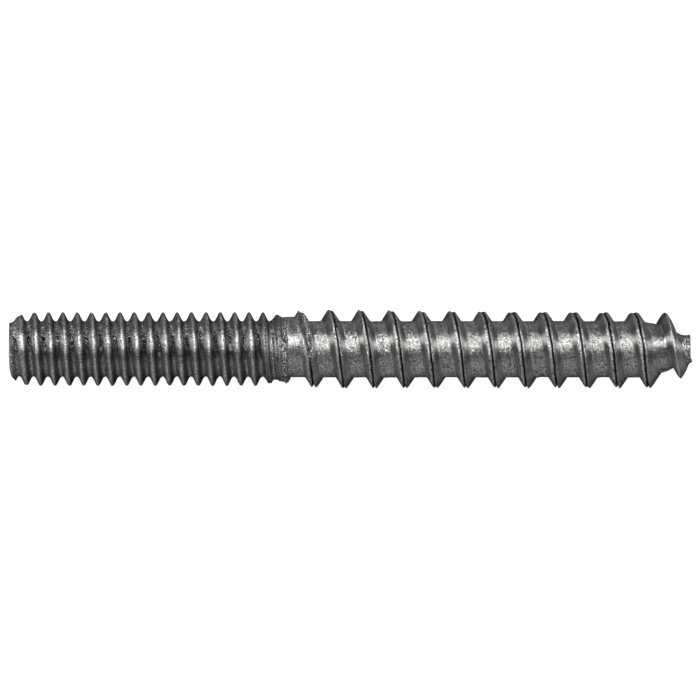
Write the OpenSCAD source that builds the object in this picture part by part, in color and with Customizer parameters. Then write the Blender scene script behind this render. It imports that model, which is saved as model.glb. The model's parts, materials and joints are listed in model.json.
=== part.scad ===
// Hanger bolt: one steel rod with a rolled machine thread on one end and a rolled lag thread on the other.
// It lies along X with the machine end at -X and the lag tip at +X, and touches z = 0 with its widest turn.

/* [Overall] */
// Length from the sheared machine end to the broken lag tip
overall_length = 37.9; // [34:0.01:60]

/* [Machine thread] */
// Distance from crest to crest, 32 threads to the inch
machine_pitch = 0.794; // [0.6:0.001:1]
// Diameter over the crests
machine_major_d = 4.03; // [3.8:0.01:4.4]
// Diameter at the bottom of the groove
machine_root_d = 3.05; // [2.8:0.01:3.3]
// Width of the narrow land along each crest
machine_crest_w = 0.07; // [0.03:0.01:0.12]
// Width of the groove's bottom
machine_root_w = 0.16; // [0.05:0.01:0.24]
// Length from the sheared end to where the groove starts to fade
machine_length = 13.9; // [8:0.1:18]
// Length over which the groove fades out into the neck
machine_fade = 1.15; // [0.5:0.1:3]
// Where a crest crosses the +Y side, from the sheared end
machine_crest_x = 0.606; // [0:0.001:0.8]

/* [Sheared machine end] */
// Diameter of the flat in the middle of the sheared face
sheared_flat_d = 2.1; // [1:0.1:2.6]
// Diameter at which the face rolls over into the rim
sheared_edge_d = 2.92; // [2.7:0.01:3]
// Depth of the rolled edge behind the flat
sheared_edge_drop = 0.12; // [0.05:0.01:0.2]
// Diameter of the rim where the thread begins
start_rim_d = 3.24; // [3.1:0.01:3.6]
// Distance from the flat to that rim
start_rim_x = 0.29; // [0.22:0.01:0.5]
// Steepness of the point that trims the first crests, radius over length
start_point_slope = 0.95; // [0.5:0.05:2]

/* [Neck] */
// Diameter of the plain rod between the threads
neck_d = 3.61; // [3.4:0.01:3.9]
// Length of the plain rod between the threads
neck_length = 0.1; // [0.1:0.05:6]

/* [Lag thread] */
// Distance from crest to crest, 15 threads to the inch
lag_pitch = 1.686; // [1.4:0.001:2.2]
// Diameter over the crests at the end of the neck
lag_first_d = 4.5; // [4.2:0.01:5]
// Diameter over the last full crest, before the tip
lag_last_d = 4.17; // [4:0.01:4.8]
// Diameter between the ridges
lag_root_d = 3.08; // [2.8:0.01:3.3]
// How the crests fall off from first to last: 1 is a straight taper, less falls off sooner
lag_taper_curve = 0.7; // [0.4:0.1:2]
// Steepness of the ridge's flanks, radius over length
lag_flank_slope = 1.55; // [1:0.05:2.5]
// Distance between the two lips that close over the crest
lag_lip_w = 0.26; // [0.15:0.01:0.4]
// Depth of the rolling seam between the lips
lag_seam_depth = 0.08; // [0.03:0.01:0.2]
// Length from the start of the taper to where the seam has closed
lag_seam_end = 0.9; // [0.2:0.1:2]
// Part of a turn before the end of the neck in which ridge and groove set in
lag_lead_turns = 0.25; // [0:0.05:0.5]
// Turns over which the ridge rises to its full height
lag_rise_turns = 1; // [0.3:0.1:3]
// Turns over which the groove opens to its full depth
lag_opening_turns = 0.2; // [0.1:0.05:1]
// Where a crest crosses the +Y side, from the sheared end
lag_crest_x = 17.81; // [17:0.01:18.6]

/* [Broken lag tip] */
// Length of the taper at the tip
tip_length = 2.55; // [1.8:0.05:6]
// Diameter between the ridges at the end of the taper
tip_root_d = 1.52; // [1:0.01:2]
// Diameter over the ridge at the end of the taper
tip_crest_d = 2; // [1.4:0.01:2.6]
// How late the root narrows: 1 is a straight cone, more keeps it full for longer
tip_root_curve = 1.4; // [1:0.1:3]
// How late the ridge narrows
tip_crest_curve = 4; // [1:0.1:6]
// Diameter of the broken face
broken_face_d = 1.24; // [0.8:0.01:1.3]
// Slant of the broken face from square
broken_face_angle = 6; // [0:1:20]
// Length of the stub between the last of the ridge and the broken face
broken_stub = 0.2; // [0.18:0.01:0.6]

/* [Fineness] */
// Facets in a turn, a multiple of 4 so that a flat facet faces down
turn_steps = 32; // [16:4:36]

/* [Hidden] */
steel_colour = [0.33, 0.33, 0.34];

machine_root_r = machine_root_d/2;
machine_crest_r = machine_major_d/2;
neck_r = neck_d/2;
lag_root_r = lag_root_d/2;
machine_end = machine_length + machine_fade;
lag_start = machine_end + neck_length;
lag_end = overall_length - broken_stub;
tip_start = lag_end - tip_length;
broken_face_r = broken_face_d/2;
// A helix closer than this to a ring that cuts it ends on that ring
merge_x = 0.02;
// The flanks stop here at the latest, which leaves some land between two ridges
lag_foot_limit = 0.45*lag_pitch;
// Turns of rows beyond the two rings at the ends of a thread, so that the rows cover it at every angle
turns_before = 1;
turns_after = 2;

function smooth(from, to, x) = let (t = min(1, max(0, (x - from)/(to - from)))) t*t*(3 - 2*t);
function mix(a, b, t) = a + (b - a)*t;
function within(x, from, to) = min(to, max(from, x));
function wrap(x, span) = x - floor(x/span)*span;

// Half a step of offset turns a flat facet, and not an edge, towards the floor
function angle_of(step) = (step + 0.5)*360/turn_steps;
// The facets touch the circle of radius r from outside, so a width over two flats is the true diameter
facet_reach = 1/cos(180/turn_steps);
function around(x, r, step) =
    let (reach = r*facet_reach) [x, reach*cos(angle_of(step)), reach*sin(angle_of(step))];

// How far x lies past the last crest, on a right-hand helix
function past_crest(x, step, pitch, crest_x) = wrap(x - crest_x - pitch*angle_of(step)/360, pitch);

// Machine thread: 60-degree flanks between a narrow crest and a rounded root
machine_rows = [
    machine_crest_w/2,
    machine_pitch/2 - machine_root_w/2,
    machine_pitch/2 + machine_root_w/2,
    machine_pitch - machine_crest_w/2
];
machine_depths = [
    [machine_rows[0], 0], [machine_rows[1], 1], [machine_rows[2], 1], [machine_rows[3], 0]
];
function machine_r(x, step) =
    let (
        depth = lookup(past_crest(x, step, machine_pitch, machine_crest_x), machine_depths),
        thread_r = mix(machine_crest_r, machine_root_r, depth),
        point_r = start_rim_d/2 + start_point_slope*(x - start_rim_x)
    )
    mix(min(thread_r, point_r), neck_r, smooth(machine_length, machine_end, x));

// Lag thread: a ridge whose two lips close over a seam, with flanks of one slope down to a wide land.
// Here a crest is the x of one turn's crest at this step, and its groove is the one that follows it.
function tip_share(x) = max(0, (x - tip_start)/tip_length);
function lag_share(x) = max(0, (x - lag_start)/(tip_start - lag_start));

// From 0 to 1 over the first turns, where the crest of turn 0 lies at the end of the neck
function risen(crest, turns) =
    smooth(-lag_lead_turns, turns - lag_lead_turns, (crest - lag_start)/lag_pitch);
function lag_lip_r(crest) =
    let (
        taper_r = mix(lag_first_d/2, lag_last_d/2, pow(lag_share(crest), lag_taper_curve)),
        tip_r = mix(taper_r, tip_crest_d/2, pow(tip_share(crest), tip_crest_curve))
    )
    mix(neck_r, tip_r, risen(crest, lag_rise_turns));
function lag_land_r(x, crest) =
    mix(
        neck_r,
        mix(lag_root_r, tip_root_d/2, pow(tip_share(x), tip_root_curve)),
        risen(crest, lag_opening_turns)
    );
function lag_seam(crest) =
    lag_seam_depth*risen(crest, lag_rise_turns)*(1 - smooth(tip_start, tip_start + lag_seam_end, crest));

// Distance from a crest to the foot of its flank, where the flank meets a land of radius land_r
function lag_foot(crest, land_r) =
    within(lag_lip_w/2 + (lag_lip_r(crest) - land_r)/lag_flank_slope, lag_lip_w, lag_foot_limit);
// Where the profile from one crest to the next has its corners, as distances past the crest
function lag_rows(crest) =
    let (
        next = crest + lag_pitch,
        foot = lag_foot(crest, lag_land_r(crest + lag_foot_limit, crest)),
        next_foot = lag_foot(next, lag_land_r(next - lag_foot_limit, crest))
    )
    [0, lag_lip_w/2, foot, lag_pitch - next_foot, lag_pitch - lag_lip_w/2];
function lag_r(x, step) =
    let (
        past = past_crest(x, step, lag_pitch, lag_crest_x),
        crest = x - past,
        ridge = past > lag_pitch/2 ? crest + lag_pitch : crest,
        rows = lag_rows(crest),
        height = lookup(
            past, [[rows[0], 0], [rows[1], 1], [rows[2], 0], [rows[3], 0], [rows[4], 1], [lag_pitch, 0]]
        ),
        in_seam = past < rows[1] || past > rows[4]
    )
    in_seam ? lag_lip_r(ridge) - lag_seam(ridge)*(1 - height)
    : mix(lag_land_r(x, crest), lag_lip_r(ridge), height);

// Rows of a thread between two rings: each row is one corner of the profile, wound along the helix
function row_count(corners, pitch, from, to) =
    corners*(ceil((to - from)/pitch) + turns_before + turns_after);
function crest_of(row, step, corners, pitch, crest_x, from) =
    let (first_turn = floor((from - crest_x)/pitch) - turns_before)
    crest_x + pitch*(first_turn + floor(row/corners) + angle_of(step)/360);

machine_corners = len(machine_rows);
lag_corners = len(lag_rows(lag_start));
machine_row_count = row_count(machine_corners, machine_pitch, start_rim_x, machine_end);
lag_row_count = row_count(lag_corners, lag_pitch, lag_start, lag_end);
function machine_x(row, step) =
    crest_of(row, step, machine_corners, machine_pitch, machine_crest_x, start_rim_x)
    + machine_rows[row % machine_corners];
function lag_x(row, step) =
    let (crest = crest_of(row, step, lag_corners, lag_pitch, lag_crest_x, lag_start))
    crest + lag_rows(crest)[row % lag_corners];

steps = [0:turn_steps - 1];
broken_face_slope = tan(broken_face_angle);
function broken_x(y) = overall_length - broken_face_slope*(broken_face_r + y);

// Every ring and row has turn_steps points, in the order of their first point's number
skin = concat(
    [for (k = steps) around(0, sheared_flat_d/2, k)],
    [for (k = steps) around(sheared_edge_drop, sheared_edge_d/2, k)],
    [for (k = steps) around(start_rim_x, machine_r(start_rim_x, k), k)],
    [for (row = [0:machine_row_count - 1], k = steps)
        let (x = within(machine_x(row, k), start_rim_x, machine_end)) around(x, machine_r(x, k), k)],
    [for (k = steps) around(machine_end, neck_r, k)],
    [for (k = steps) around(lag_start, lag_r(lag_start, k), k)],
    [for (row = [0:lag_row_count - 1], k = steps)
        let (x = within(lag_x(row, k), lag_start, lag_end)) around(x, lag_r(x, k), k)],
    [for (k = steps) around(lag_end, lag_r(lag_end, k), k)],
    [for (k = steps) let (p = around(0, broken_face_r, k)) [broken_x(p.y), p.y, p.z]],
    [[0, 0, 0], [broken_x(0), 0, 0]]
);
flat_ring = 0;
edge_ring = 1;
rim_ring = 2;
machine_grid = 3;
machine_ring = machine_grid + machine_row_count;
neck_ring = machine_ring + 1;
lag_grid = neck_ring + 1;
lag_ring = lag_grid + lag_row_count;
broken_ring = lag_ring + 1;
flat_centre = (broken_ring + 1)*turn_steps;
broken_centre = flat_centre + 1;

function ring_point(ring, step) = ring*turn_steps + step % turn_steps;

// A row's point, or the point of the ring that the row runs into
function row_point(row, step, grid, x, from, from_ring, to, to_ring) =
    x <= from + merge_x ? ring_point(from_ring, step)
    : x >= to - merge_x ? ring_point(to_ring, step)
    : ring_point(grid + row, step);

// Past the last step the helix has climbed one pitch, so it goes on in the row one turn up
function machine_point(row, step) =
    step == turn_steps ? machine_point(row + machine_corners, 0)
    : row_point(
        row, step, machine_grid, machine_x(row, step), start_rim_x, rim_ring, machine_end, machine_ring
    );
function lag_point(row, step) =
    step == turn_steps ? lag_point(row + lag_corners, 0)
    : row_point(
        row, step, lag_grid, lag_x(row, step), lag_start, neck_ring, lag_end, lag_ring
    );

// Two triangles for a patch, without those that rows on one ring flatten to nothing
function patch(a, b, c, d) = [
    for (t = [[a, b, c], [a, c, d]]) if (t[0] != t[1] && t[1] != t[2] && t[2] != t[0]) t
];
function ring_patches(ring) = [
    for (k = steps) each patch(
        ring_point(ring, k), ring_point(ring + 1, k), ring_point(ring + 1, k + 1), ring_point(ring, k + 1)
    )
];
// The last turn of rows only closes the turn before it, and the last row of that has no row after it
function last_patch_row(row_count, corners) = row_count - corners - 2;
faces = concat(
    [for (k = steps) [flat_centre, ring_point(flat_ring, k), ring_point(flat_ring, k + 1)]],
    ring_patches(flat_ring),
    ring_patches(edge_ring),
    [for (row = [0:last_patch_row(machine_row_count, machine_corners)], k = steps) each patch(
        machine_point(row, k), machine_point(row + 1, k),
        machine_point(row + 1, k + 1), machine_point(row, k + 1)
    )],
    ring_patches(machine_ring),
    [for (row = [0:last_patch_row(lag_row_count, lag_corners)], k = steps) each patch(
        lag_point(row, k), lag_point(row + 1, k), lag_point(row + 1, k + 1), lag_point(row, k + 1)
    )],
    ring_patches(lag_ring),
    [for (k = steps) [broken_centre, ring_point(broken_ring, k + 1), ring_point(broken_ring, k)]]
);
axis_height = -min([for (p = skin) p.z]);

module hanger_bolt() {
    color(steel_colour)
        translate([-overall_length/2, 0, axis_height])
            polyhedron(points = skin, faces = faces);
}

hanger_bolt();
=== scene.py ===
"""Hanger bolt: a dark steel rod with a rolled machine thread and lag thread, lying on a white floor."""
import json
from math import pi, radians

import bpy
import numpy as np
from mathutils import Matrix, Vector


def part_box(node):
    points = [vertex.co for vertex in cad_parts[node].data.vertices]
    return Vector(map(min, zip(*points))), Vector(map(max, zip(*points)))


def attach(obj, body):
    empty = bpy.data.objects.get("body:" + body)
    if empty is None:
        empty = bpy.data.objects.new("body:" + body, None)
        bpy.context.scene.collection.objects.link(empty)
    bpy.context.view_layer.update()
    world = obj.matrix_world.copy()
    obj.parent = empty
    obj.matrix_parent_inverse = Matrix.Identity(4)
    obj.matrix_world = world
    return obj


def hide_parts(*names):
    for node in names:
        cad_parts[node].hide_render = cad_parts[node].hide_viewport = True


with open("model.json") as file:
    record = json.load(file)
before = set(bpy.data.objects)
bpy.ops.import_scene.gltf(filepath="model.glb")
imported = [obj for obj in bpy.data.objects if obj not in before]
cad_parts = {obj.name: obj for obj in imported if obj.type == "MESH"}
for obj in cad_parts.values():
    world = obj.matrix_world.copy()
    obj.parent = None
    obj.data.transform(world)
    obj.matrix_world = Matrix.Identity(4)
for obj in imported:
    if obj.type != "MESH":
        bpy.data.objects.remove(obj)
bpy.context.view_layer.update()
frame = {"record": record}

MM = 0.001
NODE = "hanger_bolt"
low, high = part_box(NODE)
LENGTH = (high.x - low.x) / MM
AXIS_HEIGHT = frame["record"]["mounts"][0]["pos_m"][2] / MM
REACH = min(AXIS_HEIGHT, high.y / MM, -low.y / MM)  # no point lies further from the axis

# Sizes are in mm. How the names end:
#   _X     a place along the bolt, from the sheared machine end
#   _T     a distance across a thread, from the middle line of its crest
#   _PHI   an angle round the bolt in radians, 0 on the +Y side and a quarter turn at the top
#   _TURN  a count of turns along the lag helix, 0 where it crosses the +Y side at LAG_CREST_X
#   _SPAN  the two values between which something sets in or fades out
#   _SPOT  a centre and a half width

# The machine thread
MACHINE_PITCH = 0.79375
MACHINE_CREST_X = 0.606
MACHINE_CREST_R = 2.04
MACHINE_ROOT_T = MACHINE_PITCH / 2
MACHINE_ROOT_R = 1.54
CREST_POWER = 1.25  # more than 1 makes the crests narrower than the roots
CREST_CUT = 1.04  # more than 1 flattens the tops of the crests
CREST_CUT_ROUND = 0.04
MACHINE_LEAN = 0.011  # on the +Y side the crests lie this much further along
MACHINE_SHIFT = 0.014  # on the +Y side the thread stands out this much more
MACHINE_SHIFT_SPAN = (14.6, 15.2)
CHIP_DEPTH = 0.05
CRACK_DEPTH = 0.06
CRACK_HALF_W = 0.12
CRACK_PHI_SPOT = (1.39, 0.42)
CRACK_END_SPAN = (14.2, 14.4)

# Its pointed start and the sheared face
RIM_X = 0.26  # the thread begins here
POINT_R = 2.06
POINT_DROP = 0.37
POINT_X = 0.32
POINT_LENGTH = 0.42
POINT_ROUND = 0.03
START_SPAN = (0.5, 0.9)
EDGE_R = 1.45  # the face rolls over into the edge here
EDGE_X = 0.12
FACE_INNER_R = 0.12
FACE_RINGS = 16
FACE_SLANT = 0.045
FACE_TORN_H = 0.02
FACE_SEED = 3
FACE_ROLL = 0.02
EDGE_SHARES = (0.25, 0.5, 0.75)  # where the rings between the edge and the rim lie
EDGE_CURVE = 0.7
EDGE_LOW_SHARE = 0.4  # on the lower side the edge is torn this much beside the top
EDGE_UPPER_SPAN = (0.2, 0.9)  # of sin(phi)

# Its end, where crests and roots run out into the neck
NECK_R = 1.802
FADING_CREST_R = 1.9
CREST_DROP_SPAN = (14.1, 14.45)
CREST_END_SPAN = (14.9, 15.25)
ROOT_END_SPAN = (14.35, 15.2)
ROOT_SINK = 0.02  # the last of the root stays this far under the neck
LAST_CREST_X = 14.1
ROUGH_SPAN = (-0.97, -0.6)  # of -cos(phi): the +Y side is smooth
FINE_RIDGE_H = 0.04
FINE_RIDGE_SHARE = 0.85
BURR_X = 15.34
BURR_HALF_W = 0.06
BURR_LOW_H = 0.02
BURR_HIGH_H = 0.10
TORN_SPOT = (BURR_X - 0.12, 0.11)
TORN_DEPTH = 0.07
MACHINE_END = 15.47  # the lag thread's rows take over here

# The fine ridges past the last machine crest: distance past it, and height
FADE_T = [-0.3, -0.2, -0.09, 0.0, 0.08, 0.18, 0.25, 0.32, 0.40,
          0.45, 0.50, 0.56, 0.63, 0.75, 0.84, 0.93, 1.0, 1.1]
FADE_H = [0.0, -0.3, 0.6, -0.7, 0.6, -0.8, 0.4, 1.0, -0.6,
          -0.3, 0.7, -0.6, 0.1, 0.3, 0.1, -0.5, 0.3, 0.0]

# The lag thread: the land between its turns
LAG_PITCH = 1.686
LAG_CREST_X = 17.81
LAG_ROOT_R = 1.563
GROOVE_START_TURN_SPAN = (-1.82, -1.62)
LAND_X = [35.0, 35.8, 36.5, 36.75, 37.3, 37.9]
LAND_R = [1.563, 1.42, 1.22, 1.10, 0.80, 0.76]
LAND_PIT_DEPTH = 0.025
ON_LAND_SPAN = (-0.02, 0.08)  # how far the land lies over the ridge
FOOT_ROUND = 0.05
FOOT_LINE_T = 0.575  # a fine raised line along the foot of the ridge
FOOT_LINE_H = 0.03
FOOT_LINE_HALF_W = 0.035

# Its ridge
RIDGE_TURN = [-2.0, -1.75, -1.5, -1.0, -0.5, 0.0, 3.0, 7.0, 10.5, 11.0, 11.25, 11.5, 11.75, 12.0]
RIDGE_R = [1.77, 1.80, 1.95, 2.17, 2.13, 2.21, 2.15, 2.12, 2.10, 2.04, 1.87, 1.61, 1.2, 0.76]
SIDE_TURN = [0.0, 3.0, 6.0, 9.0]
SIDE_R = [0.03, -0.005, -0.05, -0.06]  # how much more the ridge stands out on the +Y side
FOOT_TURN = [-1.2, -1.0, -0.9, -0.5, 0.0, 2.5, 7.0]
LEFT_FOOT_T = [0.38, 0.41, 0.46, 0.485, 0.485, 0.487, 0.495]
RIGHT_FOOT_T = [0.45, 0.47, 0.49, 0.49, 0.492, 0.494, 0.516]
LEFT_FOOT_SIDE = -0.004  # how much wider a foot is on the +Y side
RIGHT_FOOT_SIDE = 0.022
LEFT_FOOT_TOP = -0.07  # and at the top
LEFT_FOOT_PHI_SPOT = (1.9, 0.5)
RIGHT_FOOT_TOP = 0.05
RIGHT_FOOT_PHI_SPOT = (1.6, 0.8)
LEFT_SLOPE = 1.68
RIGHT_SLOPE = 1.52
TIP_SLOPE = 1.62
TIP_FLANK_RISE = 0.08
RAGGED_FROM_TURN_SPAN = (-2.0, -1.4)  # the first turn is ragged, with folds on its right flank
RAGGED_TO_TURN_SPAN = (-0.75, -0.1)
FOLD_T_SPOT = (0.19, 0.16)
FOLD_IN_DEPTH = 0.12
FOLD_OUT_H = 0.06

# Its two lips and the rolling seam between them
LIPS_END_TURN_SPAN = (10.3, 10.9)
LEFT_LIP_TURN = [-1.0, -0.9, -0.8, -0.75, -0.7, -0.5, 0.0]
LEFT_LIP_T = [-0.02, -0.40, -0.30, -0.25, -0.17, -0.14, -0.125]
LEFT_LIP_TOP_T = 0.08  # how much further along it lies at the top
LEFT_LIP_DROP = 0.035
LEFT_LIP_DROP_SIDE = -0.015
LEFT_LIP_DROP_TURN_SPAN = (3.5, 5.5)
NOTCH_DEPTH = 0.2
NOTCH_TURN_SPOT = (-0.88, 0.08)
RIGHT_LIP_T = 0.10
RIGHT_LIP_SIDE_T = 0.04
RIGHT_LIP_TOP_T = 0.09
RIGHT_LIP_DROP = 0.04
RIGHT_LIP_DROP_SIDE = 0.04
RIGHT_LIP_DROP_TURN_SPAN = (3.0, 5.0)
RAGGED_DROP = 0.8
LIP_CURVE = 1.8
RAGGED_CURVE = 5.0
TIP_CURVE = 4.5
LIP_ROUND = 0.07
RAGGED_ROUND = 0.02
SEAM_T = -0.035
SEAM_TOP_T = 0.125
SEAM_DEPTH = 0.125
SEAM_HALF_W = 0.04
SEAM_START_TURN_SPAN = (-0.75, -0.62)
SEAM_END_TURN_SPAN = (10.5, 10.8)
SEAM_CLOSED_SPAN = (0.5, 0.95)  # of cos(phi)
SEAM_CLOSED = 0.5
RAGGED_SEAM = 0.6

# The broken tip
TIP_TURN_SPAN = (10.6, 11.1)
TIP_LEAD = 0.15  # the last half turn runs ahead of the helix
TIP_LEAD_TURN_SPOT = (11.3, 0.24)
TIP_END = 37.6
STUB_LENGTH = 0.1
STUB_SPAN = (0.55, 0.95)  # of -cos(phi): the -Y side reaches furthest
STUB_SHARES = (0.35, 0.7, 1.0)  # where the rings of the stub lie
STUB_NARROWED = 0.94  # the last of them is narrowed to this
TIP_RINGS = [(0.82, 0.0), (0.55, 0.02), (0.28, 0.03)]  # share of the edge's radius, and depth
TIP_TORN_H = 0.05
TIP_CENTRE_DEPTH = 0.16

# Single dents and burrs: place along, turn round, half length along, half width round, height
MARKS = [
    (15.19, 0.180, 0.035, 0.10, -0.10), (15.27, 0.200, 0.035, 0.10, -0.12),
    (15.34, 0.222, 0.035, 0.10, -0.10), (15.31, 0.165, 0.07, 0.09, 0.07),
    (15.40, 0.196, 0.04, 0.12, 0.06), (15.36, 0.277, 0.06, 0.14, 0.08),
    (15.13, 0.289, 0.06, 0.10, -0.09), (15.20, 0.318, 0.06, 0.10, -0.09),
    (15.12, 0.343, 0.06, 0.09, -0.08), (15.38, 0.389, 0.06, 0.12, 0.06),
    (15.40, 0.490, 0.05, 0.40, 0.15), (16.46, 0.148, 0.05, 0.09, -0.13),
    (16.62, 0.183, 0.05, 0.08, -0.12), (16.54, 0.208, 0.05, 0.07, -0.12),
    (16.70, 0.222, 0.05, 0.08, -0.11), (16.66, 0.245, 0.05, 0.09, -0.10),
    (16.52, 0.130, 0.04, 0.07, 0.06), (16.55, 0.193, 0.04, 0.06, 0.07),
    (16.66, 0.170, 0.04, 0.07, 0.06), (16.62, 0.215, 0.04, 0.06, 0.06),
    (0.06, 0.262, 0.03, 0.07, 0.05), (0.10, 0.285, 0.03, 0.06, -0.06),
    (0.08, 0.315, 0.03, 0.07, 0.05), (0.14, 0.335, 0.03, 0.07, -0.06),
    (0.18, 0.362, 0.04, 0.07, 0.05), (0.12, 0.392, 0.03, 0.08, -0.06),
    (0.22, 0.408, 0.04, 0.08, 0.05), (0.38, 0.190, 0.02, 0.20, 0.04), (0.63, 0.205, 0.02, 0.18, 0.04),
    (0.36, 0.245, 0.03, 0.10, -0.05), (0.28, 0.300, 0.03, 0.12, -0.05),
    (0.55, 0.150, 0.03, 0.16, -0.04), (0.51, 0.215, 0.03, 0.35, -0.04),
    (0.24, 0.205, 0.03, 0.25, -0.03), (37.60, 0.240, 0.14, 0.30, 0.03),
    (36.22, 0.428, 0.07, 0.10, -0.08), (36.42, 0.436, 0.08, 0.10, -0.09),
    (36.62, 0.430, 0.06, 0.10, -0.08), (37.72, 0.000, 0.09, 0.16, 0.06),
    (37.60, 0.960, 0.06, 0.12, -0.04), (27.86, 0.260, 0.04, 0.16, -0.06),
    (33.10, 0.235, 0.05, 0.14, -0.07), (33.22, 0.262, 0.05, 0.12, -0.07),
    (22.30, 0.290, 0.07, 0.12, -0.04),
]
MARK_R = 1.9  # widths round the bolt are measured at this radius

# Unevenness of the skin: height, size of its cells, and seed
GRAINS = {
    "rolled edge": (0.07, 0.2, 5),
    "machine line": (0.012, 0.9, 7),
    "machine crest": (0.014, 0.4, 17),
    "machine skin": (0.007, 0.17, 31),
    "machine start": (0.012, 0.11, 35),
    "ridge height": (0.45, 0.45, 51),
    "ridge line": (0.012, 0.5, 53),
    "burr line": (0.03, 0.5, 96),
    "lag line": (0.012, 1.2, 60),
    "seam line": (0.018, 0.4, 62),
    "seam depth": (0.04, 0.4, 77),
    "left lip": (0.016, 0.2, 70),
    "right lip": (0.016, 0.2, 75),
    "lag land": (0.012, 0.8, 64),
    "land skin": (0.006, 0.17, 80),
    "lag skin": (0.003, 0.15, 95),
    "broken face": (0.5, 0.25, 107),
}
GRAIN_R = 1.8
FINER = 2.03  # how much finer the second layer of a grain is
FINE_SHARE = 0.5  # and how strong beside the first

# Patches of the skin: size and seed of a grain, and the levels at which a patch starts and is whole
PATCHES = {
    "chips": (0.28, 33, 0.55, 1.1),
    "cracks": (0.3, 111, -1.1, -0.2),
    "tears": (0.22, 55, -0.1, 0.5),
    "burrs": (0.25, 97, -0.3, 0.5),
    "bare burrs": (0.25, 97, 0.0, 0.5),
    "folds in": (0.16, 79, 0.0, 0.5),
    "folds out": (0.14, 82, 0.1, 0.6),
    "land pits": (0.16, 85, 0.55, 0.95),
    "foot line": (0.7, 87, -0.2, 0.4),
}

# Rolling marks along a thread: height, size across it, size along it, and seed
MACHINE_ROLLING = (0.016, 0.06, 1.4, 21)
LAG_ROLLING = (0.006, 0.08, 1.6, 90)
DRIFT = 2.0  # makes what runs along a thread change round each turn

# Rows of points across each thread
MACHINE_SIDE_T = np.array([0.04, 0.08, 0.125, 0.18, 0.235, 0.285, 0.33, 0.37])
MACHINE_ROW_T = np.concatenate([-MACHINE_SIDE_T[::-1], [0.0], MACHINE_SIDE_T, [MACHINE_ROOT_T]])
FADE_X = 14.15  # from here on the machine thread fades out, in finer and even rows
FADE_ROWS = 32
FADE_ROW_T = np.arange(FADE_ROWS) * MACHINE_PITCH / FADE_ROWS
LAG_ROW_T = np.array([
    -0.56, -0.50, -0.43, -0.36, -0.30, -0.24, -0.19, -0.145, -0.105, -0.07, -0.035, -0.005,
    0.015, 0.03, 0.045, 0.06, 0.08, 0.105, 0.135, 0.165, 0.20, 0.25, 0.31, 0.37, 0.43, 0.49,
    0.535, 0.57, 0.60, 0.63,
    *np.linspace(0.69, LAG_PITCH - 0.56 - 0.055, 8),  # the land, up to the next turn's first row
])
STEPS = 104  # points in a turn
PHI = (np.arange(STEPS) + 0.5) * 2 * pi / STEPS
MERGE = 0.012  # a row closer than this to the ring at its end joins it
TURNS_BEFORE = 1  # the rows start this many turns before the first ring
TURNS_MORE = 4  # and have this many more turns than fit between the rings, to cover every angle
TINY = 1e-9  # keeps a radius of 0 out of a division


def smooth(a, b, x):
    t = np.clip((x - a) / (b - a), 0, 1)
    return t * t * (3 - 2 * t)


def mix(a, b, t):
    return a + (b - a) * t


def bump(x, centre, half_w):
    return np.exp(-(((x - centre) / half_w) ** 2))


def soft_min(a, b, k):
    h = np.clip(0.5 + 0.5 * (b - a) / k, 0, 1)
    return mix(b, a, h) - k * h * (1 - h)


def soft_max(a, b, k):
    return -soft_min(-a, -b, k)


def lattice(ix, iy, iz, seed):
    """A hash of each lattice point, from -1 to 1."""
    h = ix * 374761393 + iy * 668265263 + iz * 1274126177 + seed * 362437
    h = (h ^ (h >> 13)) * 1103515245
    h = h ^ (h >> 16)
    return (h & 0xFFFF) / 32767.5 - 1


def noise(x, y, z, seed):
    """Smooth value noise from -1 to 1, one cell per unit."""
    x, y, z = np.broadcast_arrays(x, y, z)
    cell = [np.floor(v).astype(np.int64) for v in (x, y, z)]
    part = [v - c for v, c in zip((x, y, z), cell)]
    part = [f * f * (3 - 2 * f) for f in part]
    total = 0.0
    for dx in (0, 1):
        for dy in (0, 1):
            for dz in (0, 1):
                weight = (
                    (part[0] if dx else 1 - part[0])
                    * (part[1] if dy else 1 - part[1])
                    * (part[2] if dz else 1 - part[2])
                )
                total = total + weight * lattice(cell[0] + dx, cell[1] + dy, cell[2] + dz, seed)
    return total


def skin_noise(x, phi, size, seed):
    """Two layers of noise on the rod's skin, with cells of about size mm."""
    y, z = GRAIN_R * np.cos(phi), GRAIN_R * np.sin(phi)
    coarse = 1 / size
    fine = coarse * FINER
    total = noise(x * coarse, y * coarse, z * coarse, seed)
    return total + FINE_SHARE * noise(x * fine, y * fine, z * fine, seed + 1)


def grain(x, phi, name):
    height, size, seed = GRAINS[name]
    return height * skin_noise(x, phi, size, seed)


def patches(x, phi, name):
    """1 in the patches of that name and 0 between them."""
    size, seed, start, whole = PATCHES[name]
    return smooth(start, whole, skin_noise(x, phi, size, seed))


def rolling(t, pitch, x, phi, height, across, along, seed):
    """Marks drawn out along a thread."""
    turn = 2 * pi * t / pitch
    ring = pitch / (2 * pi * across)
    drift = x + DRIFT * np.cos(phi)
    return height * noise(ring * np.cos(turn), ring * np.sin(turn), drift / along, seed)


def marked(x, phi):
    """The height of all the single marks at a place on the skin."""
    total = 0.0
    for centre, turn, half_x, half_w, height in MARKS:
        away = (phi / (2 * pi) - turn + 0.5) % 1 - 0.5
        total = total + height * bump(x, centre, half_x) * bump(2 * pi * MARK_R * away, 0, half_w)
    return total


def winding(x, phi, pitch, crest_x):
    """Turns along a right-hand helix, and the distance in mm past its crest."""
    across = (x - crest_x) / pitch - phi / (2 * pi)
    turn = np.round(across) + phi / (2 * pi)
    return turn, x - crest_x - pitch * turn


# The machine thread


def machine_wave(t):
    """1 on the crest and 0 at the root."""
    rounded = (0.5 + 0.5 * np.cos(2 * pi * t / MACHINE_PITCH)) ** CREST_POWER
    return soft_min(CREST_CUT * rounded, 1.0, CREST_CUT_ROUND)


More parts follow.
